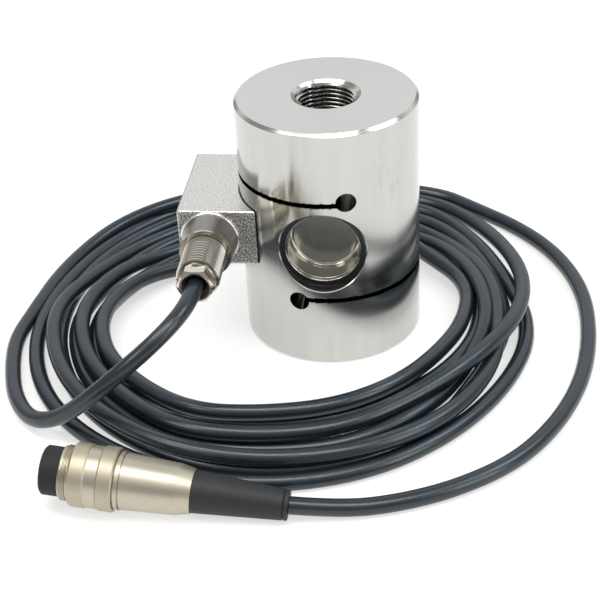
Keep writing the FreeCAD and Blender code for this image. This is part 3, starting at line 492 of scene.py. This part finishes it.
def connector_nickel():
    """Warm satin nickel with turning marks, and duller on the two bands."""
    f = Finish("connector_nickel")
    along = ((f.x - CONNECTOR_FRONT.x) * CONNECTOR_AXIS.x
             + (f.y - CONNECTOR_FRONT.y) * CONNECTOR_AXIS.y
             + (f.z - CONNECTOR_FRONT.z) * CONNECTOR_AXIS.z)
    matte = sum(f.fade(abs(along - middle), half, half + 0.2)
                for middle, half in CONNECTOR_BANDS)
    turned = f.noise(0.25, 2, place=f.join(along * MM, 0.0, 0.0))
    colour = f.mix(f.noise(3.0, 2), (0.49, 0.455, 0.37), (0.57, 0.535, 0.44))
    colour = f.mix(matte * 0.7, colour, (0.48, 0.435, 0.325))
    colour = f.mix(turned * 0.25, colour, (0.30, 0.27, 0.20))
    roughness = 0.38 + 0.10 * matte + 0.06 * f.noise(1.0, 2) * turned
    return f.shade(colour, roughness, 1.0, f.noise(0.2, 2) * (0.3 + matte), 0.006)


def screw_steel():
    f = Finish("screw_steel")
    colour = f.mix(f.noise(1.5, 2), (0.45, 0.45, 0.45), (0.58, 0.575, 0.56))
    return f.shade(colour, 0.25 + 0.12 * f.noise(0.6, 2), 1.0, f.noise(0.3, 2), 0.006)


def contact_gold():
    f = Finish("contact_gold")
    colour = f.mix(f.noise(0.8, 2), (0.85, 0.60, 0.22), (0.95, 0.72, 0.33))
    return f.shade(colour, 0.20 + 0.1 * f.noise(0.5, 2), 1.0, f.noise(0.2, 2), 0.003)


def carrier_plastic():
    f = Finish("carrier_plastic")
    colour = f.mix(f.noise(2.0, 3), (0.004, 0.004, 0.0045), (0.008, 0.008, 0.009))
    return f.shade(colour, 0.62 + 0.15 * f.noise(0.8, 2), 0.0, f.noise(0.25, 2), 0.02)


def boot_rubber():
    """Matte moulded rubber."""
    f = Finish("boot_rubber")
    colour = f.mix(f.noise(3.0, 3), (0.006, 0.0075, 0.009), (0.012, 0.0145, 0.0165))
    return f.shade(colour, 0.50 + 0.15 * f.noise(1.0, 3), 0.0, f.noise(0.3, 3), 0.03)


def cable_sheath():
    """Smooth sheath, faintly blue, with dust and rub marks."""
    f = Finish("cable_sheath")
    rub = f.ease(f.noise(9.0, 4), 0.45, 0.75)
    dust = f.ease(f.noise(0.5, 2), 0.68, 0.82)
    colour = f.mix(f.noise(14.0, 3), (0.007, 0.010, 0.014), (0.011, 0.016, 0.022))
    colour = f.mix(dust * 0.08, colour, (0.20, 0.22, 0.24))
    roughness = 0.26 + 0.10 * rub + 0.04 * f.noise(1.0, 2)
    relief = f.noise(0.8, 3) + 0.6 * f.noise(4.0, 2)
    # painted light: the specular tint gives the sheath's reflections a blue cast, standing in for
    # bluish light
    return f.shade(colour, roughness, 0.0, relief, 0.0015, Specular_IOR_Level=0.7,
                   Specular_Tint=(0.84, 0.94, 1.0))


def seal_rubber():
    f = Finish("seal_rubber")
    colour = f.mix(f.noise(2.0, 2), (0.008, 0.008, 0.008), (0.016, 0.016, 0.017))
    return f.shade(colour, 0.5 + 0.15 * f.noise(0.7, 2), 0.0, f.noise(0.4, 2), 0.01)


def gauge_foil():
    """Copper-coloured foil grid on its amber carrier."""
    f = Finish("gauge_foil")
    grid = f.node("TexWave", {"bands_direction": "Y"},
                  {"Vector": f.place, "Scale": 1200.0, "Distortion": 0.0}, "Fac")
    metal = f.ease(grid, 0.45, 0.55)
    colour = f.mix(metal, (0.55, 0.33, 0.10), (0.72, 0.55, 0.45))
    return f.shade(colour, 0.35 + 0.1 * f.noise(1.0, 2), metal * 0.8)


def terminal_copper():
    f = Finish("terminal_copper")
    colour = f.mix(f.noise(0.7, 2), (0.72, 0.38, 0.22), (0.85, 0.55, 0.38))
    return f.shade(colour, 0.30 + 0.1 * f.noise(0.5, 2), 1.0, f.noise(0.3, 2), 0.005)


def wire_enamel():
    f = Finish("wire_enamel")
    colour = f.mix(f.noise(3.0, 2), (0.42, 0.03, 0.02), (0.58, 0.07, 0.04))
    return f.shade(colour, 0.30 + 0.1 * f.noise(1.0, 2), 0.0, f.noise(0.4, 2), 0.004)


def board_green():
    f = Finish("board_green")
    colour = f.mix(f.noise(1.2, 3), (0.015, 0.12, 0.04), (0.03, 0.19, 0.07))
    return f.shade(colour, 0.35 + 0.1 * f.noise(0.8, 2), 0.0, f.noise(0.5, 2), 0.006)


def resistor_black():
    f = Finish("resistor_black")
    ends = f.ease(f.noise(0.8, 2), 0.4, 0.7)
    colour = f.mix(ends, (0.015, 0.015, 0.015), (0.035, 0.033, 0.03))
    return f.shade(colour, 0.45 + 0.1 * f.noise(0.6, 2), 0.0, f.noise(0.3, 2), 0.01)


def pad_grey():
    f = Finish("pad_grey")
    colour = f.mix(f.noise(1.0, 3), (0.25, 0.26, 0.27), (0.36, 0.37, 0.38))
    return f.shade(colour, 0.8 + 0.1 * f.noise(0.6, 2), 0.0, f.noise(0.4, 3), 0.03)


PIECES_OF = {
    column_steel: ["load_body", "top_thread", "base_thread"],
    cup_steel: ["front_cup", "rear_cup"],
    block_steel: ["junction_block", "block_cover"],
    gland_nickel: ["gland_body", "gland_screw"],
    bead_highlight_steel: ["boss_bead"],
    connector_nickel: ["connector_sleeve", "connector_ring", "connector_shell",
                       "coupling_thread"],
    screw_steel: ["block_screws", "cover_screws", "gland_washer", "connector_clamp"],
    contact_gold: ["connector_contacts"],
    carrier_plastic: ["connector_insert"],
    boot_rubber: ["connector_boot"],
    cable_sheath: ["cable", "cable_entry", "cable_end", "cable_lead", "cable_coil",
                   "cable_tail"],
    seal_rubber: ["block_gasket", "gland_oring", "gland_bush"],
    gauge_foil: ["gauge_front_left", "gauge_front_right", "gauge_rear_left",
                 "gauge_rear_right"],
    terminal_copper: ["terminal_front", "terminal_rear"],
    wire_enamel: ["bridge_wires_front", "bridge_wires_rear", "cable_cores",
                  "connector_cores"],
    board_green: ["compensation_board"],
    resistor_black: ["board_resistors"],
    pad_grey: ["board_pad"],
}


def finish_pieces():
    for make, names in PIECES_OF.items():
        material = make()
        for name in names:
            piece = bpy.data.objects[name]
            if not piece.material_slots:
                piece.data.materials.append(material)
            for slot in piece.material_slots:
                slot.material = material


# ------------------------------------------------------------------ floor and light


def make_floor():
    mesh = bmesh.new()
    bmesh.ops.create_grid(mesh, x_segments=1, y_segments=1, size=3.0)
    data = bpy.data.meshes.new("floor")
    mesh.to_mesh(data)
    mesh.free()
    floor = bpy.data.objects.new("floor", data)
    bpy.context.scene.collection.objects.link(floor)
    f = Finish("lit_sweep")
    colour = f.mix(f.noise(400.0, 2), (0.42,) * 3, (0.44,) * 3)
    data.materials.append(f.shade(colour, 0.9, Emission_Color=(1.0, 1.0, 1.0),
                                  Emission_Strength=0.6, Specular_IOR_Level=0.0))


def soft_light(name, at, toward, size, power, colour=(1.0, 1.0, 1.0)):
    """A rectangular lamp at a place in metres, aimed at another; size in metres, watts."""
    lamp = bpy.data.lights.new(name, "AREA")
    lamp.shape = "RECTANGLE"
    lamp.size, lamp.size_y = size
    lamp.energy, lamp.color = power, colour
    light = bpy.data.objects.new(name, lamp)
    light.location = at
    light.rotation_euler = (Vector(toward) - Vector(at)).to_track_quat("-Z", "Y").to_euler()
    bpy.context.scene.collection.objects.link(light)


def soft_room():
    """Even light from above, dimmer towards the horizon on the side of the viewer."""
    f = Finish("soft_room", world=True)
    north = f.ease(f.y, 0.25, 0.65) * f.ease(f.z, 0.10, 0.35)
    high_south = f.ease(f.y, -0.15, -0.45) * f.ease(f.z, 0.55, 0.75)
    strength = 0.36 + 0.70 * north + 0.45 * high_south
    light = f.node("Background", {}, {"Color": (1.0, 1.0, 1.0), "Strength": strength})
    f.node("OutputWorld", {}, {"Surface": light})
    return f.material


def make_light():
    scene = bpy.context.scene
    scene.world = soft_room()
    scene.view_settings.view_transform = "Standard"
    soft_light("ceiling", (-0.10, -0.28, 1.10), (0, 0, 0), (1.3, 0.35), 9.0, (1.0, 0.97, 0.92))
    soft_light("window", (0.75, 0.10, 0.95), (0, 0, 0), (0.5, 0.5), 4.0, (0.82, 0.93, 1.0))
    soft_light("left_side", (-0.80, -0.60, 0.90), (0, 0, 0.04), (0.35, 0.35), 2.5)
    soft_light("right_side", (0.90, -0.50, 0.45), (0, 0, 0.04), (0.4, 0.6), 3.0,
               (1.0, 0.95, 0.87))


set_camera()
make_cable()
make_threads()
make_boss_bead()
finish_pieces()
make_floor()
make_light()

bpy.context.view_layer.update()
